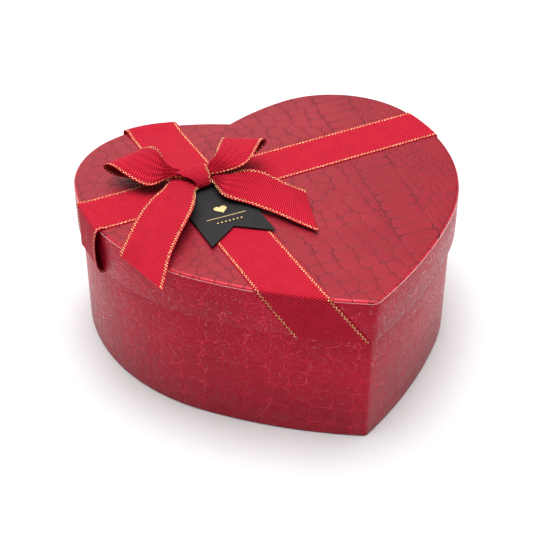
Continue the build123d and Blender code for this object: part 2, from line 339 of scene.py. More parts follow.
def grosgrain():
    finish = Finish("grosgrainRibbon")
    place = finish.flat("weave")
    bent = finish.wobble(place, ribbonCloth["wobble"])
    turns = finish.part(bent, 0) * (2 * math.pi / ribbonCloth["pitch"])
    rib = turns.maths("SINE", turns) * 0.5 + 0.5
    threads = finish.part(place, 1) * (2 * math.pi / ribbonCloth["thread"])
    warp = threads.maths("SINE", threads) * 0.5 + 0.5
    cloud = finish.noise(place, 7.0)
    # rib crests take the lit colour and rib valleys the shade colour: painted light and painted shade on
    # the ribs, with a random cloud
    tone = finish.ease(rib * 0.72 + cloud * 0.28, 0.1, 0.8)
    finish.shade(
        Base_Color=finish.blend(tone, ribbonCloth["shade"], ribbonCloth["lit"]),
        Roughness=0.66 - 0.12 * rib,
        Specular_IOR_Level=0.07,
        Sheen_Weight=0.03,
        Sheen_Roughness=0.4,
        Sheen_Tint=colour(1.0, 0.3, 0.36),
    )
    finish.bump(rib * 0.85 + warp * 0.15, ribbonCloth["depth"])
    return finish.material


def goldMetal(name, tone, deep, rough):
    finish = Finish(name)
    place = finish.solid()
    spark = finish.noise(place, 0.6, 3.0)
    # a fine noise mixes the deep and light tones; on the gold thread the deep tone is painted shade
    # between the stitches and the light tone painted glints
    finish.shade(
        Base_Color=finish.blend(finish.ease(spark, 0.38, 0.62), deep, tone),
        Metallic=0.65,
        Roughness=rough + 0.25 * (spark - 0.5),
    )
    return finish.material


finishes = {
    "top": topPaper(),
    "side": sidePaper(),
    "cut": plainPaper("cutPaperEdge", colour(0.80, 0.62, 0.60), colour(0.60, 0.40, 0.40), 0.8),
    "lining": plainPaper("liningPaper", colour(0.82, 0.79, 0.73), colour(0.76, 0.73, 0.67), 0.75),
    "foot": plainPaper("footPaper", colour(0.36, 0.018, 0.032), colour(0.30, 0.013, 0.026), 0.6),
    "board": plainPaper("greyBoard", colour(0.30, 0.28, 0.25), colour(0.24, 0.22, 0.20), 0.9),
    "ribbon": grosgrain(),
    # goldThread: its dark tone is painted shade between the stitches
    "gold": goldMetal("goldThread", colour(0.95, 0.68, 0.33), colour(0.30, 0.11, 0.04), 0.36),
    "foil": goldMetal("goldFoil", colour(0.95, 0.70, 0.34), colour(0.82, 0.55, 0.22), 0.28),
    "card": plainPaper(
        "blackCard", colour(0.013, 0.011, 0.012), colour(0.008, 0.007, 0.008), 0.6, cardGrain
    ),
}
print("finishes made:", len(finishes))


def addToScene(name, data):
    made = bpy.data.objects.new(name, data)
    bpy.context.scene.collection.objects.link(made)
    return made


def piece(name, points, faces, body, materials, layout=None, marks=None, sharp=40):
    mesh = bpy.data.meshes.new(name)
    mesh.from_pydata([Vector(p) * mm for p in points], [], faces)
    for key in materials:
        mesh.materials.append(finishes[key])
    if layout:
        layer = mesh.uv_layers.new(name=layout[0])
        for face, spots in zip(mesh.polygons, layout[1]):
            for loop, spot in zip(face.loop_indices, spots):
                layer.data[loop].uv = (spot[0] * mm, spot[1] * mm)
    if marks:
        for face, mark in zip(mesh.polygons, marks):
            face.material_index = mark
    shell = bmesh.new()
    shell.from_mesh(mesh)
    bmesh.ops.recalc_face_normals(shell, faces=shell.faces)
    shell.to_mesh(mesh)
    shell.free()
    mesh.shade_smooth()
    mesh.set_sharp_from_angle(angle=math.radians(sharp))
    made = addToScene(name, mesh)
    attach(made, body)
    return made


# Heart outline: four tangent arcs on each side of X = 0 and a small round at the tip
heart = {
    "width": 190.0,
    "radii": (131.7, 49.5, 105.5, 247.2),
    "turns": (100.6, 12.1, -44.4),
    "tip": 4.7,
    "leastTip": 0.6,
    "spacing": 1.6,
}


def heartArcs(inset):
    cleft, lobe, shoulder, side = heart["radii"]
    lobeStart, lobeEnd, shoulderEnd = heart["turns"]
    lobeX = heart["width"] / 2 - shoulder + (shoulder - lobe) * math.cos(math.radians(lobeEnd))
    centres = {1: (lobeX, 0.0)}
    for own, other, reach, angle in (
        (0, 1, lobe - cleft, lobeStart),
        (2, 1, lobe - shoulder, lobeEnd),
        (3, 2, shoulder - side, shoulderEnd),
    ):
        x, y = centres[other]
        turn = math.radians(angle)
        centres[own] = (x + reach * math.cos(turn), y + reach * math.sin(turn))
    sideX, sideY = centres[3]

    def tipOf(gap):
        radius = max(heart["tip"] - gap, heart["leastTip"])
        return radius, sideY - math.sqrt((side - gap - radius) ** 2 - sideX**2)

    lidTip, lidTipY = tipOf(0)
    middleY = (lobe + lidTipY - lidTip) / 2
    tip, tipY = tipOf(inset)
    cleftX = centres[0][0]
    cleftAngle = math.degrees(math.atan2(math.sqrt((cleft - inset) ** 2 - cleftX**2), -cleftX))
    tipAngle = math.degrees(math.atan2(tipY - sideY, -sideX))
    stops = (cleftAngle, lobeStart, lobeEnd, shoulderEnd, tipAngle)
    arcs = []
    for i, radius in enumerate(heart["radii"]):
        x, y = centres[i]
        arcs.append((x, y - middleY, radius - inset, stops[i], stops[i + 1]))
    arcs.append((0.0, tipY - middleY, tip, tipAngle, -90.0))
    return arcs


def arcPoint(arc, share):
    x, y, radius, start, end = arc
    angle = math.radians(start + (end - start) * share)
    return x + radius * math.cos(angle), y + radius * math.sin(angle)


lidArcs = heartArcs(0)
arcLengths = [radius * abs(math.radians(end - start)) for x, y, radius, start, end in lidArcs]
halfLength = sum(arcLengths)


def heartAt(run, inset):  # the outline's point at a run in millimetres from the cleft, by the right side
    run = run % (2 * halfLength)
    side = 1 if run <= halfLength else -1
    left = run if side > 0 else 2 * halfLength - run
    for arc, length in zip(heartArcs(inset), arcLengths):
        if left <= length or length == arcLengths[-1]:
            x, y = arcPoint(arc, min(left / length, 1.0))
            return Vector((side * x, y))
        left -= length


def outlineRuns():
    runs = []
    start = 0.0
    for length in arcLengths:
        count = max(4, round(length / heart["spacing"]))
        runs += [start + length * i / count for i in range(count)]
        start += length
    return runs + [halfLength] + [2 * halfLength - run for run in reversed(runs[1:])]


runs = outlineRuns()


def sweepHeart(profile, cap=None):  # a closed profile of (inset, height, mark), with one step of it capped
    points = [(*heartAt(run, inset), height) for inset, height, _ in profile for run in runs]
    ends = runs + [2 * halfLength]
    drops = [profile[0][1]]
    for (a, b, _), (c, d, _) in zip(profile, profile[1:] + profile[:1]):
        drops.append(drops[-1] + math.hypot(c - a, d - b))
    faces, spots, marks = [], [], []
    count = len(runs)
    for j in range(len(profile)):
        k = (j + 1) % len(profile)
        if j == cap:
            faces += [[j * count + i for i in range(count)], [k * count + i for i in range(count)]]
            spots += [[points[v][:2] for v in face] for face in faces[-2:]]
            marks += [profile[j][2], profile[j][2]]
            continue
        for i in range(count):
            n = (i + 1) % count
            faces.append([j * count + i, j * count + n, k * count + n, k * count + i])
            low, high = drops[j], drops[j + 1]
            spots.append([(ends[i], low), (ends[i + 1], low), (ends[i + 1], high), (ends[i], high)])
            marks.append(profile[j][2])
    return points, faces, ("flow", spots), marks


# Lid top: paper over the board, a soft edge, turned down inside the skirt paper
lidTop = {
    "edge": 1.3,
    "steps": 6,
    "thick": 0.14,
    "turnDown": 9.0,
    "outside": 0.2,
    "neck": {"deep": 0.16, "at": 1.35, "below": 2.2},
    "ease": 0.1,
    "flatRing": 1.2,
}


def lidTopWrap():
    top = box["height"]
    edge, thick, ease = lidTop["edge"], lidTop["thick"], lidTop["ease"]
    out, neck = lidTop["outside"], lidTop["neck"]
    foot = top - lidTop["turnDown"]
    ring = out + edge + lidTop["flatRing"]
    profile = [(out + thick, foot, 0), (out, foot, 0), (out, top - neck["below"], 0)]
    profile += [(out + neck["deep"], top - neck["at"], 0), (out, top - edge, 0)]
    for i in range(1, lidTop["steps"] + 1):
        turn = math.pi / 2 * i / lidTop["steps"]
        profile.append((out + edge * (1 - math.cos(turn)), top - edge * (1 - math.sin(turn)), 0))
    profile.append((ring, top, 0))
    cap = len(profile) - 1
    profile += [(ring, top - thick, 0), (out + edge + ease, top - thick, 0)]
    profile.append((out + neck["deep"] + thick, top - edge - ease, 0))
    points, faces, layout, marks = sweepHeart(profile, cap)
    made = piece("lidTopWrap", points, faces, "lid", ["top"], layout, marks)
    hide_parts("lid_top_wrap")


# Lid skirt: its cut edge shows just below the top, and it is turned in at the bottom
skirt = {"reveal": 1.2, "inside": 1.6, "turnIn": 14.0, "fold": 0.3, "gap": 0.05, "cutEdge": (0.03, 0.12)}


def lidSkirtWrap():
    paper = box["paper"]
    top = box["height"] - skirt["reveal"]
    inside = skirt["inside"]
    fold = skirt["fold"]
    cut = fold * box["foldCut"]
    lean, drop = skirt["cutEdge"]
    seat = skirtZ + paper + skirt["gap"]
    profile = [
        (fold, skirtZ, 0),
        (cut, skirtZ + cut, 0),
        (0.0, skirtZ + fold, 0),
        (0.0, top - drop, 0),
        (lean, top, 1),
        (paper, top, 0),
        (paper, seat, 0),
        (inside - paper, seat, 0),
        (inside - paper, skirtZ + skirt["turnIn"], 1),
        (inside, skirtZ + skirt["turnIn"], 0),
        (inside, skirtZ + fold, 0),
        (inside - cut, skirtZ + cut, 0),
        (inside - fold, skirtZ, 0),
    ]
    points, faces, layout, marks = sweepHeart(profile)
    made = piece("lidSkirtWrap", points, faces, "lid", ["side", "cut"], layout, marks)
    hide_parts("lid_skirt_wrap")


# Tray: one strip round the wall, folded over the rim and under the bottom
tray = {"wall": 1.6, "turnIn": 16.0, "turnUnder": 12.0, "fold": 0.5}


def trayWrap():
    paper = box["paper"]
    rim = box["rim"]
    out = box["overhang"]
    inside = out + 2 * paper + tray["wall"]
    fold = tray["fold"]
    cut = fold * box["foldCut"]
    under = out + tray["turnUnder"]
    profile = [
        (out + fold, paper, 0),
        (out + cut, paper + cut, 0),
        (out, paper + fold, 0),
        (out, rim - fold, 0),
        (out + cut, rim - cut, 0),
        (out + fold, rim, 0),
        (inside - fold, rim, 0),
        (inside - cut, rim - cut, 0),
        (inside, rim - fold, 0),
        (inside, rim - tray["turnIn"], 1),
        (inside - paper, rim - tray["turnIn"], 0),
        (inside - paper, rim - paper, 0),
        (out + paper, rim - paper, 0),
        (out + paper, 2 * paper, 0),
        (under, 2 * paper, 1),
        (under, paper, 0),
    ]
    points, faces, layout, marks = sweepHeart(profile)
    made = piece("trayWrap", points, faces, "base", ["side", "cut"], layout, marks)
    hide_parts("base_wrap")


lidTopWrap()
lidSkirtWrap()
trayWrap()
print("paper wraps made, outline of", len(runs), "points")


# Ribbon: a thin closed strip over a grid of middle points, with a gold braid inside each edge
ribbon = {"width": 27.0, "thick": 0.4, "edge": 0.7, "lane": 1.1, "columns": 33}
braid = {
    "pitch": 0.95,
    "uneven": 0.1,
    "length": 1.6,
    "radius": 0.34,
    "belly": 0.45,
    "slant": 42.0,
    "spread": 0.3,
    "sides": 6,
}


def gridNormals(grid):
    rows, columns = len(grid), len(grid[0])
    normals = []
    for i in range(rows):
        line = []
        for j in range(columns):
            run = grid[min(i + 1, rows - 1)][j] - grid[max(i - 1, 0)][j]
            across = grid[i][min(j + 1, columns - 1)] - grid[i][max(j - 1, 0)]
            line.append(run.cross(across).normalized())
        normals.append(line)
    return normals


def ribbonStrip(name, grid, node, flat, lengths=None, closed=False):
    rows, columns = len(grid), len(grid[0])
    thick = ribbon["thick"]
    normals = gridNormals(grid)
    if closed:
        across = grid[0][-1] - grid[0][0]
        seam = [(a - b).cross(across).normalized() for a, b in zip(grid[1], grid[-2])]
        normals[0] = seam
        normals[-1] = seam
    if lengths is None:
        lengths = [[0.0] * columns]
        for i in range(1, rows):
            step = sum((grid[i][j] - grid[i - 1][j]).length for j in range(columns)) / columns
            lengths.append([lengths[-1][0] + step] * columns)
    widths = [ribbon["width"] * j / (columns - 1) for j in range(columns)]
    sides = [[], []]
    last = rows - 1 if closed else rows
    for i in range(last):
        for j in range(columns):
            edge = ribbon["edge"] if j in (0, columns - 1) else 1.0
            offset = normals[i][j] * (thick / 2 * edge)
            sides[0].append(grid[i][j] + offset)
            sides[1].append(grid[i][j] - offset)
    points = sides[0] + sides[1]
    half = len(sides[0])
    faces, spots = [], []

    def spot(i, j):
        return lengths[i][j], widths[j]

    for i in range(rows - 1):
        n = (i + 1) % last
        for j in range(columns - 1):
            quad = [i * columns + j, i * columns + j + 1, n * columns + j + 1, n * columns + j]
            flatQuad = [spot(i, j), spot(i, j + 1), spot(i + 1, j + 1), spot(i + 1, j)]
            faces += [quad, [half + v for v in reversed(quad)]]
            spots += [flatQuad, flatQuad[::-1]]
        for j in (0, columns - 1):
            a, b = i * columns + j, n * columns + j
            faces.append([a, b, half + b, half + a])
            spots.append([spot(i, j), spot(i + 1, j), spot(i + 1, j), spot(i, j)])
    if not closed:
        for i in (0, rows - 1):
            for j in range(columns - 1):
                a = i * columns + j
                faces.append([a, a + 1, half + a + 1, half + a])
                spots.append([spot(i, j), spot(i, j + 1), spot(i, j + 1), spot(i, j)])
    made = piece(name, points, faces, "lid", ["ribbon"], ("weave", spots), sharp=50)
    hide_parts(node)
    lane = ribbon["lane"] / ribbon["width"]
    gold = goldBraid(name + "Gold", grid, normals, [1 - lane] if closed else [lane, 1 - lane])


def laneLine(grid, normals, share):  # points and normals along one share of the width
    columns = len(grid[0])
    place = share * (columns - 1)
    j = min(int(place), columns - 2)
    part = place - j
    line = [row[j].lerp(row[j + 1], part) for row in grid]
    lifts = [row[j].lerp(row[j + 1], part).normalized() for row in normals]
    return line, lifts


def braidStitch(points, faces, middle, axis, lift):  # one short spindle of gold thread
    sides = braid["sides"]
    other = lift.cross(axis).normalized()
    up = axis.cross(other)
    start = len(points)
    reach = axis * (braid["length"] / 2)
    points += [middle - reach, middle + reach]
    for place in (-braid["belly"], braid["belly"]):
        for s in range(sides):
            swing = 2 * math.pi * s / sides
            rim = other * math.cos(swing) + up * math.sin(swing)
            points.append(middle + reach * place + rim * braid["radius"])
    for s in range(sides):
        low = start + 2 + s
        lowNext = start + 2 + (s + 1) % sides
        faces.append([start, lowNext, low])
        faces.append([low, lowNext, lowNext + sides, low + sides])
        faces.append([start + 1, low + sides, lowNext + sides])


def goldBraid(name, grid, normals, lanes):
    points, faces = [], []
    for share in lanes:
        line, lifts = laneLine(grid, normals, share)
        done = 0.0
        due = braid["pitch"] / 2
        turn = 1
        for a, b, lift in zip(line, line[1:], lifts):
            step = (b - a).length
            while due <= done + step and step > 0:
                run = (b - a).normalized()
                beside = lift.cross(run).normalized()
                middle = a.lerp(b, (due - done) / step) + beside * (braid["spread"] * turn)
                angle = math.radians(braid["slant"]) * turn
                axis = (run * math.cos(angle) + beside * math.sin(angle)).normalized()
                braidStitch(points, faces, middle, axis, lift)
                due += braid["pitch"] * random.uniform(1 - braid["uneven"], 1 + braid["uneven"])
                turn = -turn
            done += step
    return piece(name, points, faces, "lid", ["gold"], sharp=80)


# Bands: straight over the top, folded over the edge, slanting down the skirt and tucked up inside
bands = {
    "crossing": (-36.4, 26.1),
    "long": 93.1,
    "cross": 4.9,
    "ramp": 5.0,
    "rampGap": 1.2,
    "tuck": 8.0,
    "bend": 0.9,
    "hem": 0.5,
    "topRows": 90,
    "bendRows": 6,
    "skirtRows": 14,
    "slack": 1.1,
    "slackReach": 9.0,
    "looseLap": 4.0,
    "looseCrest": 1.2,
    "looseRows": 6,
    "looseFold": 1.4,
    "looseTurn": -6.0,
    "looseTuck": 1.5,
    "looseDrop": 1.2,
}
crossing = Vector(bands["crossing"])
halfWidth = ribbon["width"] / 2


def bandFrame(angle):
    along = Vector((math.cos(math.radians(angle)), math.sin(math.radians(angle))))
    return along, Vector((along.y, -along.x))


def edgeRun(start, along, inset):  # where a line leaves the outline, as a run along it and a distance
    best = None
    for a, b in zip(runs, runs[1:] + runs[:1]):
        p, q = heartAt(a, inset), heartAt(b, inset)
        edge = q - p
        turn = along.x * edge.y - along.y * edge.x
        if abs(turn) < 1e-9:
            continue
        gap = p - start
        reach = (gap.x * edge.y - gap.y * edge.x) / turn
        share = (gap.x * along.y - gap.y * along.x) / turn
        if reach > 0 and 0 <= share <= 1 and (best is None or reach > best[1]):
            span = (b - a) if b > a else 2 * halfLength - a
            best = (a + span * share, reach)
    return best


def shares():  # across the ribbon, from one edge to the other
    return [2 * j / (ribbon["columns"] - 1) - 1 for j in range(ribbon["columns"])]


def between(a, b, c, d, share):  # a smooth curve through b and c
    bend = 2 * a - 5 * b + 4 * c - d
    twist = 3 * b - a - 3 * c + d
    return (2 * b + (c - a) * share + bend * share**2 + twist * share**3) / 2


def smoothPath(path, steps):
    first = [2 * p - q for p, q in zip(path[0], path[1])]
    last = [2 * p - q for p, q in zip(path[-1], path[-2])]
    knots = [first] + [list(p) for p in path] + [last]
    found = []
    for i in range(1, len(knots) - 2):
        for step in range(steps):
            found.append([between(*four, step / steps) for four in zip(*knots[i - 1 : i + 3])])
    found.append(list(path[-1]))
    return found


def softStep(share):  # from 0 to 1 with soft ends
    share = max(0.0, min(1.0, share))
    return share * share * (3 - 2 * share)


def slackAt(distance, slack):  # how far a slack ribbon stands off, a distance from the fold
    return slack * softStep(1 - distance / bands["slackReach"])


def endProfile(slack):  # the ribbon's middle as (inset, height), from the lid's edge to the tuck
    rest = ribbon["thick"] / 2
    bend, hem = bands["bend"], bands["hem"]
    reach = bend + rest
    crown = box["height"] - bend
    foot = skirtZ - rest
    profile = []
    for i in range(1, bands["bendRows"] + 1):
        turn = math.pi / 2 * i / bands["bendRows"]
        profile.append((bend - reach * math.sin(turn) - slack, crown + reach * math.cos(turn) + slack))
    for i in range(1, bands["skirtRows"] + 1):
        drop = (crown - foot - 0.8 * hem) * i / bands["skirtRows"]
        off = slackAt(drop, slack)
        profile.append((-rest - off, crown - drop + off))
    inside = skirt["inside"] + rest
    profile += [(-0.4 * rest, foot + 0.2 * hem), (0.6 * hem, foot)]
    profile += [(inside - hem, foot), (inside - 0.2 * hem, foot + 0.3 * hem), (inside, foot + hem)]
    profile += [(inside, foot + bands["tuck"] / 2), (inside, foot + bands["tuck"])]
    return profile


def bandEnd(angle, slack=0.0):  # for each share, points and lengths from the crossing outwards
    along, across = bandFrame(angle)
    inset = bands["bend"]
    run, _ = edgeRun(crossing, along, inset)
    edge = (heartAt(run + 1, inset) - heartAt(run - 1, inset)).normalized()
    outward = Vector((-edge.y, edge.x))
    if outward.dot(along) < 0:
        outward = -outward
    slant = along.dot(edge) / along.dot(outward)
    columns = []
    for share in shares():
        start = crossing + across * (share * halfWidth)
        hit, reach = edgeRun(start, along, inset)
        last = (inset, box["height"] + ribbon["thick"] / 2)
        drop = 0.0
        line = []
        for spot in endProfile(slack):
            drop += math.hypot(spot[0] - last[0], spot[1] - last[1])
            last = spot
            place = heartAt(hit + slant * drop, spot[0])
            line.append((Vector((*place, spot[1])), reach + drop * math.sqrt(1 + slant**2)))
        columns.append((reach, line))
    return columns


def topHeight(distance, rise):  # the ribbon's middle over the top, stepped up where it crosses the other
    near = halfWidth + bands["rampGap"]
    share = softStep((near + bands["ramp"] - abs(distance)) / bands["ramp"])
    return box["height"] + ribbon["thick"] / 2 + rise * share


def looseEnd(angle):  # the slack end stands off the skirt and goes under its rim
    along, across = bandFrame(angle)
    run, _ = edgeRun(crossing, along, 0.0)
    edge = heartAt(run, 0.0)
    depth, fold = box["skirtDepth"], bands["looseFold"]
    foot = -depth - bands["looseDrop"]
    knots = [  # (outwards, height, share of the turn)
        (-bands["looseLap"], ribbon["thick"] / 2, 0.0),
        (-bands["looseCrest"], 2 * ribbon["thick"], 0.0),
        (0.45 * fold, 0.0, 0.2),
        (0.8 * fold, -0.1 * depth, 0.5),
        (fold, -0.3 * depth, 0.9),
        (fold, -0.6 * depth, 1.0),
        (0.8 * fold, -0.9 * depth, 0.8),
        (0.1 * fold, foot, 0.2),
        (-bands["looseTuck"], foot, 0.0),
    ]
    rows = smoothPath(knots, bands["looseRows"])
    start = (edge - crossing).length - bands["looseLap"]
    columns = []
    for share in shares():
        line = []
        length = start
        last = None
        for out, z, turn in rows:
            swing = math.radians(angle - 90 + bands["looseTurn"] * turn)
            side = Vector((math.cos(swing), math.sin(swing)))
            place = edge + along * out + side * (share * halfWidth)
            point = Vector((*place, box["height"] + z))
            length += (point - last).length if last else 0.0
            last = point
            line.append((point, length))
        columns.append((start, line))
    return columns


def band(name, node, angle, rise, slack, farEnd):
    along, across = bandFrame(angle)
    near = bandEnd(angle, slack)
    far = farEnd(angle + 180)[::-1]
    columns = []
    for share, (reach, line), (back, other) in zip(shares(), near, far):
        start = crossing + across * (share * halfWidth)
        column = [(p, -length) for p, length in reversed(other)]
        for i in range(1, bands["topRows"] + 1):
            distance = -back + (reach + back) * i / bands["topRows"]
            place = start + along * distance
            height = topHeight(distance, rise) + slackAt(reach - distance, slack)
            column.append((Vector((*place, height)), distance))
        column += line
        columns.append(column)
    rows = list(zip(*columns))
    grid = [[point for point, _ in row] for row in rows]
    lengths = [[length for _, length in row] for row in rows]
    centre = ribbon["columns"] // 2
    flat = (ribbon["width"] * mm, round(lengths[-1][centre] - lengths[0][centre]) * mm)
    ribbonStrip(name, grid, node, flat, lengths)


band("ribbonBandCross", "ribbon_band_cross", bands["cross"], 0.0, 0.0, looseEnd)
band("ribbonBandLong", "ribbon_band_long", bands["long"], ribbon["thick"], bands["slack"], bandEnd)
print("ribbon bands made")


# Bow: stations from the crossing, as x, y, z, turn and tilt of the width, and the share of the width left
tailFolds = {"height": 1.0, "count": 5.2, "clear": (3, 11), "sink": 0.0}
loopFolds = {"height": 1.4, "count": 5.6, "arch": 1.6, "sink": 1.3}
bow = {
    "z": 82.6,
    "steps": 8,
    "mostGather": 0.75,
    "tailLeft": [
        (-1.2, -1.2, 1.2, 95, 0, 0.29),
        (-7.8, -1.8, 2.0, 104, -4, 0.62),
        (-12.0, -7.0, 3.7, 113, -8, 0.74),
        (-15.4, -13.0, 4.9, 119, -8, 0.78),
        (-20.8, -19.4, 5.0, 123, -6, 0.9),
        (-27.6, -26.9, 4.3, 125, -5, 0.95),
        (-35.3, -35.9, 2.8, 126, -4, 0.95),
        (-42.9, -46.1, 1.0, 122, -2, 0.965),
        (-50.3, -58.5, -0.6, 109, 5, 1.155),
    ],
    "tailRight": [
        (1.2, -1.0, 1.2, 78, 0, 0.25),
        (6.0, -2.8, 2.2, 60, 4, 0.25),
        (8.6, -9.6, 3.3, 48, 10, 0.48),
        (10.8, -13.4, 4.2, 46, 14, 0.64),
        (14.6, -15.4, 4.2, 46, 13, 0.79),
        (20.2, -18.4, 3.2, 47, 9, 0.89),
        (25.8, -24.4, 1.9, 50, 4, 0.945),
        (31.9, -33.1, 0.9, 58, 2, 0.995),
        (39.3, -44.8, 0.4, 75.7, 3, 1.227),
    ],
    "loopLeft": [
        (-1.0, 2.4, 2.9, -90, 0, 0.19),
        (-12.3, 6.2, 4.2, -105, 0, 0.16),
        (-16.5, 12.2, 3.0, -124, 0, 0.52),
        (-26.5, 23.4, 1.9, -150, 2, 0.83),
        (-30.0, 26.7, 5.2, -157, 5, 0.945),
        (-28.2, 22.0, 9.2, -153, 0, 0.865),
        (-20.2, 9.4, 8.2, -124, -24, 0.81),
        (-12.0, 6.0, 5.8, -108, -8, 0.25),
        (-1.0, 2.4, 4.7, -90, 0, 0.18),
    ],
    "loopRight": [
        (1.0, 1.0, 2.4, -90, 0, 0.21),
        (6.2, 2.4, 3.2, -80, 0, 0.22),
        (13.5, 6.8, 2.9, -60, 3, 0.56),
        (24.6, 13.0, 3.9, -52, 12, 0.81),
        (30.2, 15.8, 7.3, -52, 13, 0.945),
        (27.2, 12.5, 11.1, -53, 13, 0.885),
        (16.8, 0.5, 9.9, -66, 3, 0.76),
        (7.2, 0.4, 5.9, -86, -2, 0.33),
        (1.0, 1.0, 5.0, -90, 0, 0.19),
    ],
    "folds": {
        "tailLeft": {**tailFolds, "phase": 0.5, "arch": 2.5},
        "tailRight": {**tailFolds, "phase": 2.2, "arch": 3.0},
        "loopLeft": {**loopFolds, "phase": 0.4, "clear": (10, 22)},
        "loopRight": {**loopFolds, "phase": 1.9, "clear": (8, 18)},
    },
}


def bowGrid(path, folds):
    rows = smoothPath(path, bow["steps"])
    seat = Vector((*crossing, bow["z"]))
    middles = [seat + Vector(row[:3]) for row in rows]
    grid = []
    for i, (x, y, z, turn, tilt, share) in enumerate(rows):
        run = middles[min(i + 1, len(rows) - 1)] - middles[max(i - 1, 0)]
        swing, lean = math.radians(turn), math.radians(tilt)
        level = math.cos(lean)
        across = Vector((level * math.cos(swing), level * math.sin(swing), math.sin(lean)))
        up = run.cross(across).normalized()
        if up.z < 0:
            up = -up
        near, far = folds["clear"]
        clear = max(0.0, min(1.0, (math.hypot(x, y) - near) / (far - near)))
        gather = max(0.0, min(bow["mostGather"], 1 - share))
        line = []
        for place in shares():
            crown = folds["arch"] * (1 - place**2) * clear
            wave = folds["height"] * math.cos(math.pi * folds["count"] * place + folds["phase"])
            sink = folds["sink"] * (1 - clear)
            reach = across * (ribbon["width"] * share / 2 * place)
            line.append(middles[i] + reach + up * (gather * (crown + wave - sink)))
        grid.append(line)
    return grid


def bowPiece(name, node, key):
    grid = bowGrid(bow[key], bow["folds"][key])
    middle = ribbon["columns"] // 2
    length = sum((b[middle] - a[middle]).length for a, b in zip(grid, grid[1:]))
    ribbonStrip(name, grid, node, (ribbon["width"] * mm, round(length) * mm))


bowPiece("bowTailLeft", "bow_tail_left", "tailLeft")
bowPiece("bowTailRight", "bow_tail_right", "tailRight")
bowPiece("bowLoopLeft", "bow_loop_left", "loopLeft")
bowPiece("bowLoopRight", "bow_loop_right", "loopRight")


# Knot: a doubled ribbon gathered round the loops and tails, wider at the back and skewed to the left
knot = {
    "front": (-4.4, 2.9),
    "back": (-11.0, 6.6),
    "depth": 15.0,
    "height": 7.0,
    "corner": 3.4,
    "cornerRows": 6,
    "flatRows": 8,
    "wrap": 0.7,
    "turn": 7.0,
    "creases": 3,
    "creaseLean": 1.2,
    "crease": 0.18,
    "pinch": 1.2,
    "droop": 2.8,
}


def knotOutline():  # the middle of the wrap, round the loops, as (depth, height)
    inset = knot["wrap"] / 2
    wide, tall = knot["depth"] / 2 - inset, knot["height"] / 2 - inset
    corner = knot["corner"] - inset
    line = []
    for quarter in range(4):
        x = (wide - corner) * (1, -1, -1, 1)[quarter]
        z = (tall - corner) * (1, 1, -1, -1)[quarter]
        for i in range(knot["cornerRows"] + 1):
            turn = math.pi / 2 * (quarter + i / knot["cornerRows"])
            line.append(Vector((x + corner * math.cos(turn), z + corner * math.sin(turn))))
        if quarter in (0, 2):
            start, level = line[-1]
            rows = knot["flatRows"]
            line += [Vector((start - 2 * start * i / rows, level)) for i in range(1, rows)]
    return line + line[:1]


def bowKnot():
    turn = Matrix.Rotation(math.radians(knot["turn"]), 3, "Z")
    seat = Vector((*crossing, bow["z"] + knot["height"] / 2))
    outline = knotOutline()
    grid = []
    for spot in outline:
        share = spot.x / knot["depth"] + 0.5
        left, right = [a + (b - a) * share for a, b in zip(knot["front"], knot["back"])]
        droop = knot["droop"] * max(0.0, 1 - 2 * share) ** 2 * (spot.y / knot["height"] + 0.5)
        line = []
        for place in shares():
            wave = math.cos(math.pi * knot["creases"] * place + knot["creaseLean"] * share)
            crease = knot["crease"] * wave * (1 - place**4)
            pinch = 1 - (crease + knot["pinch"] * place**4) / spot.length
            side = left + (right - left) * (place + 1) / 2
            line.append(seat + turn @ Vector((side, spot.x * pinch, spot.y * pinch - droop)))
        grid.append(line)
    around = sum((b - a).length for a, b in zip(outline, outline[1:]))
    flat = (ribbon["width"] / 2 * mm, round(around) * mm)
    ribbonStrip("bowKnot", grid, "bow_knot", flat, closed=True)


bowKnot()


# Tie: three twisted strands from the bands up through the tag to the knot
tie = {"low": 81.3, "high": 82.6, "strand": 0.42, "reach": 0.52, "turns": 0.7, "rings": 9, "sides": 8}


def circle(radius, count):
    turns = [2 * math.pi * i / count for i in range(count)]
    return [(radius * math.cos(turn), radius * math.sin(turn)) for turn in turns]


def bowTie():
    points, faces = [], []
    sides = tie["sides"]
    for strand in range(3):
        base = len(points)
        for i in range(tie["rings"]):
            share = i / (tie["rings"] - 1)
            swing = 2 * math.pi * (strand / 3 + tie["turns"] * share)
            x = bands["crossing"][0] + tie["reach"] * math.cos(swing)
            y = bands["crossing"][1] + tie["reach"] * math.sin(swing)
            z = tie["low"] + (tie["high"] - tie["low"]) * share
            points += [(x + out, y + beside, z) for out, beside in circle(tie["strand"], sides)]
        last = len(points) - sides
        for low in range(base, last, sides):
            for s in range(sides):
                n = (s + 1) % sides
                faces.append([low + s, low + n, low + sides + n, low + sides + s])
        faces += [list(range(base, base + sides)), list(range(last, last + sides))]
    made = piece("bowTie", points, faces, "lid", ["ribbon"])
    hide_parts("bow_tack")


bowTie()
print("bow made")


# Tag: black card on the tie, with a plain foil heart, rule and dots
tag = {
    "width": 32.0,
    "length": 52.5,
    "notch": 11.5,
    "thick": 0.5,
    "shoulder": 7.0,
    "corner": 10.0,
    "cornerSteps": 8,
    "hole": 1.4,
    "holePoints": 24,
    "z": 81.6,
    "turn": 2.0,
    "bevel": 0.08,
}
foil = {
    "thick": 0.03,
    "sunk": 0.01,
    "heart": {"y": -25.5, "size": 6.5, "points": 36},
    "rule": {"y": -32.0, "long": 20.0, "tall": 0.35},
    "dots": {"y": -36.0, "radius": 0.45, "pitch": 2.0, "count": 7, "points": 12},
}


def tagPlace():
    place = Matrix.Translation((*crossing, tag["z"]))
    return place @ Matrix.Rotation(math.radians(tag["turn"]), 4, "Z")


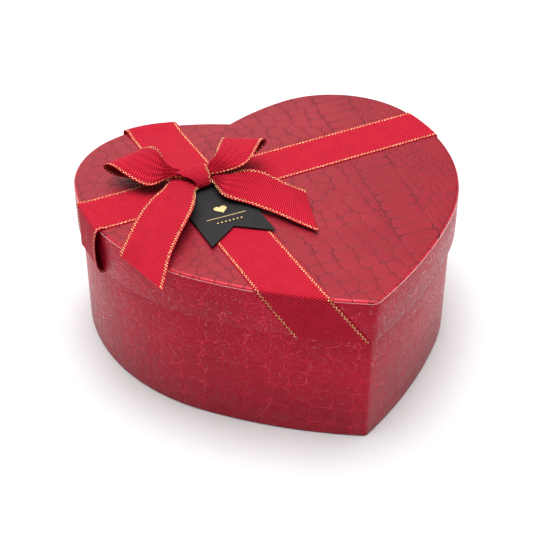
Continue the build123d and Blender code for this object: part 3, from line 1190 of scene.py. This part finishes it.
def tagOutline(inset):
    half, low = tag["width"] / 2 - inset, -tag["length"]
    slope = math.atan2(tag["notch"], tag["width"] / 2)
    rise = inset / math.cos(slope)
    corner = tag["corner"] - inset
    top = tag["shoulder"] - inset
    line = [(-half, low + rise + tag["notch"] * inset / (tag["width"] / 2))]
    line.append((0.0, low + tag["notch"] + rise))
    line.append((half, line[0][1]))
    for quarter, side in enumerate((1, -1)):
        for i in range(tag["cornerSteps"] + 1):
            turn = math.pi / 2 * (i / tag["cornerSteps"] + quarter)
            x = side * (half - corner) + corner * math.cos(turn)
            line.append((x, top - corner + corner * math.sin(turn)))
    return line


def tagCard():
    bevel, thick = tag["bevel"], tag["thick"]
    levels = [(bevel, 0.0), (0.0, bevel), (0.0, thick - bevel), (bevel, thick)]
    shell = bmesh.new()
    rings = []
    for inset, z in levels:
        outer = [shell.verts.new((x, y, z)) for x, y in tagOutline(inset)]
        inner = [shell.verts.new((x, y, z)) for x, y in circle(tag["hole"] + inset, tag["holePoints"])]
        rings.append((outer, inner))
    for (lowOut, lowIn), (highOut, highIn) in zip(rings, rings[1:]):
        for low, high in ((lowOut, highOut), (lowIn, highIn)):
            for i in range(len(low)):
                n = (i + 1) % len(low)
                shell.faces.new([low[i], low[n], high[n], high[i]])
    for outer, inner in (rings[0], rings[-1]):
        edges = []
        for ring in (outer, inner):
            edges += [shell.edges.get((ring[i], ring[(i + 1) % len(ring)])) for i in range(len(ring))]
        bmesh.ops.triangle_fill(shell, use_beauty=True, use_dissolve=False, edges=edges)
    shell.verts.index_update()
    place = tagPlace()
    points = [place @ v.co for v in shell.verts]
    faces = [[v.index for v in face.verts] for face in shell.faces]
    shell.free()
    made = piece("tagCard", points, faces, "tag", ["card"], sharp=30)
    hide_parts("tag_card")


def foilShape(name, outlines):  # raised flat shapes on the card
    points, faces = [], []
    place = tagPlace()
    for outline in outlines:
        start = len(points)
        count = len(outline)
        for z in (tag["thick"] - foil["sunk"], tag["thick"] + foil["thick"]):
            points += [place @ Vector((x, y, z)) for x, y in outline]
        faces += [[start + i for i in range(count)], [start + count + i for i in range(count)]]
        for i in range(count):
            n = (i + 1) % count
            faces.append([start + i, start + n, start + count + n, start + count + i])
    piece(name, points, faces, "tag", ["foil"], sharp=30)


def foilHeart():
    mark = foil["heart"]
    line = []
    for i in range(mark["points"]):
        t = 2 * math.pi * i / mark["points"]
        wide = 16 * math.sin(t) ** 3
        tall = 13 * math.cos(t) - 5 * math.cos(2 * t) - 2 * math.cos(3 * t) - math.cos(4 * t)
        line.append((mark["size"] * wide / 32, mark["y"] + mark["size"] * tall / 32))
    foilShape("tagHeart", [line])


def foilRule():
    mark = foil["rule"]
    end = mark["long"] / 2
    low, high = mark["y"] - mark["tall"] / 2, mark["y"] + mark["tall"] / 2
    foilShape("tagRule", [[(-end, low), (end, low), (end, high), (-end, high)]])


def foilDots():
    mark = foil["dots"]
    dots = []
    for i in range(mark["count"]):
        middle = mark["pitch"] * (i - (mark["count"] - 1) / 2)
        ring = circle(mark["radius"], mark["points"])
        dots.append([(middle + x, mark["y"] + y) for x, y in ring])
    foilShape("tagDots", dots)


tagCard()
foilHeart()
foilRule()
foilDots()
print("tag made")


# Pieces whose shape comes with the frame
frameFinishes = {
    "board": ["base_floor_board", "base_wall_left", "base_wall_right"]
    + ["lid_top_board", "lid_skirt_left", "lid_skirt_right"],
    "lining": ["base_wall_lining", "base_floor_lining", "lid_lining"],
    "foot": ["base_foot_paper"],
}
for key, names in frameFinishes.items():
    for name in names:
        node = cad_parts[name]
        node.data.materials.clear()
        node.data.materials.append(finishes[key])


# Studio: pale floor, a broad soft light overhead and a camera at the photograph's angle
studio = {
    "spot": (-0.21137, -0.4615, 0.40536),
    "target": (-0.0111, 0.0026, 0.04026),
    "lens": 84.18,
    "floor": {"size": 6.0, "drop": 0.0002, "tone": colour(0.77, 0.77, 0.775), "rough": 0.7},
    "sky": 0.2,
    "lights": [
        {"name": "overhead", "spot": (0.0, 0.1, 1.5), "size": 1.6, "watts": 45.0},
        {"name": "backdrop", "spot": (0.1, 2.2, 0.9), "size": 2.2, "watts": 16.0},
        {"name": "frontFill", "spot": (0.5, -1.6, 0.8), "size": 1.2, "watts": 1.2},
    ],
}


def aim(thing, spot):  # from a spot towards the middle of the box
    thing.location = spot
    thing.rotation_euler = (Vector(studio["target"]) - thing.location).to_track_quat("-Z", "Y").to_euler()


def makeFloor():
    plan = studio["floor"]
    half = plan["size"] / 2
    corners = [(-half, -half, 0), (half, -half, 0), (half, half, 0), (-half, half, 0)]
    mesh = bpy.data.meshes.new("floor")
    mesh.from_pydata(corners, [], [(0, 1, 2, 3)])
    paint = Finish("paleFloor", Base_Color=plan["tone"], Roughness=plan["rough"])
    mesh.materials.append(paint.material)
    floor = addToScene("floor", mesh)
    floor.location.z = -plan["drop"]


def makeLights():
    world = bpy.data.worlds.new("studio")
    world.use_nodes = True
    sky = world.node_tree.nodes["Background"]
    sky.inputs["Color"].default_value = colour(1.0, 1.0, 1.0)
    sky.inputs["Strength"].default_value = studio["sky"]
    bpy.context.scene.world = world
    for plan in studio["lights"]:
        lamp = bpy.data.lights.new(plan["name"], "AREA")
        lamp.size = plan["size"]
        lamp.energy = plan["watts"]
        aim(addToScene(plan["name"], lamp), plan["spot"])


def makeCamera():
    lens = bpy.data.cameras.new("camera")
    lens.lens = studio["lens"]
    lens.clip_start = 0.01
    camera = addToScene("camera", lens)
    aim(camera, studio["spot"])
    bpy.context.scene.camera = camera
    bpy.context.scene.view_settings.view_transform = "Standard"


makeFloor()
makeLights()
makeCamera()
print("scene ready")
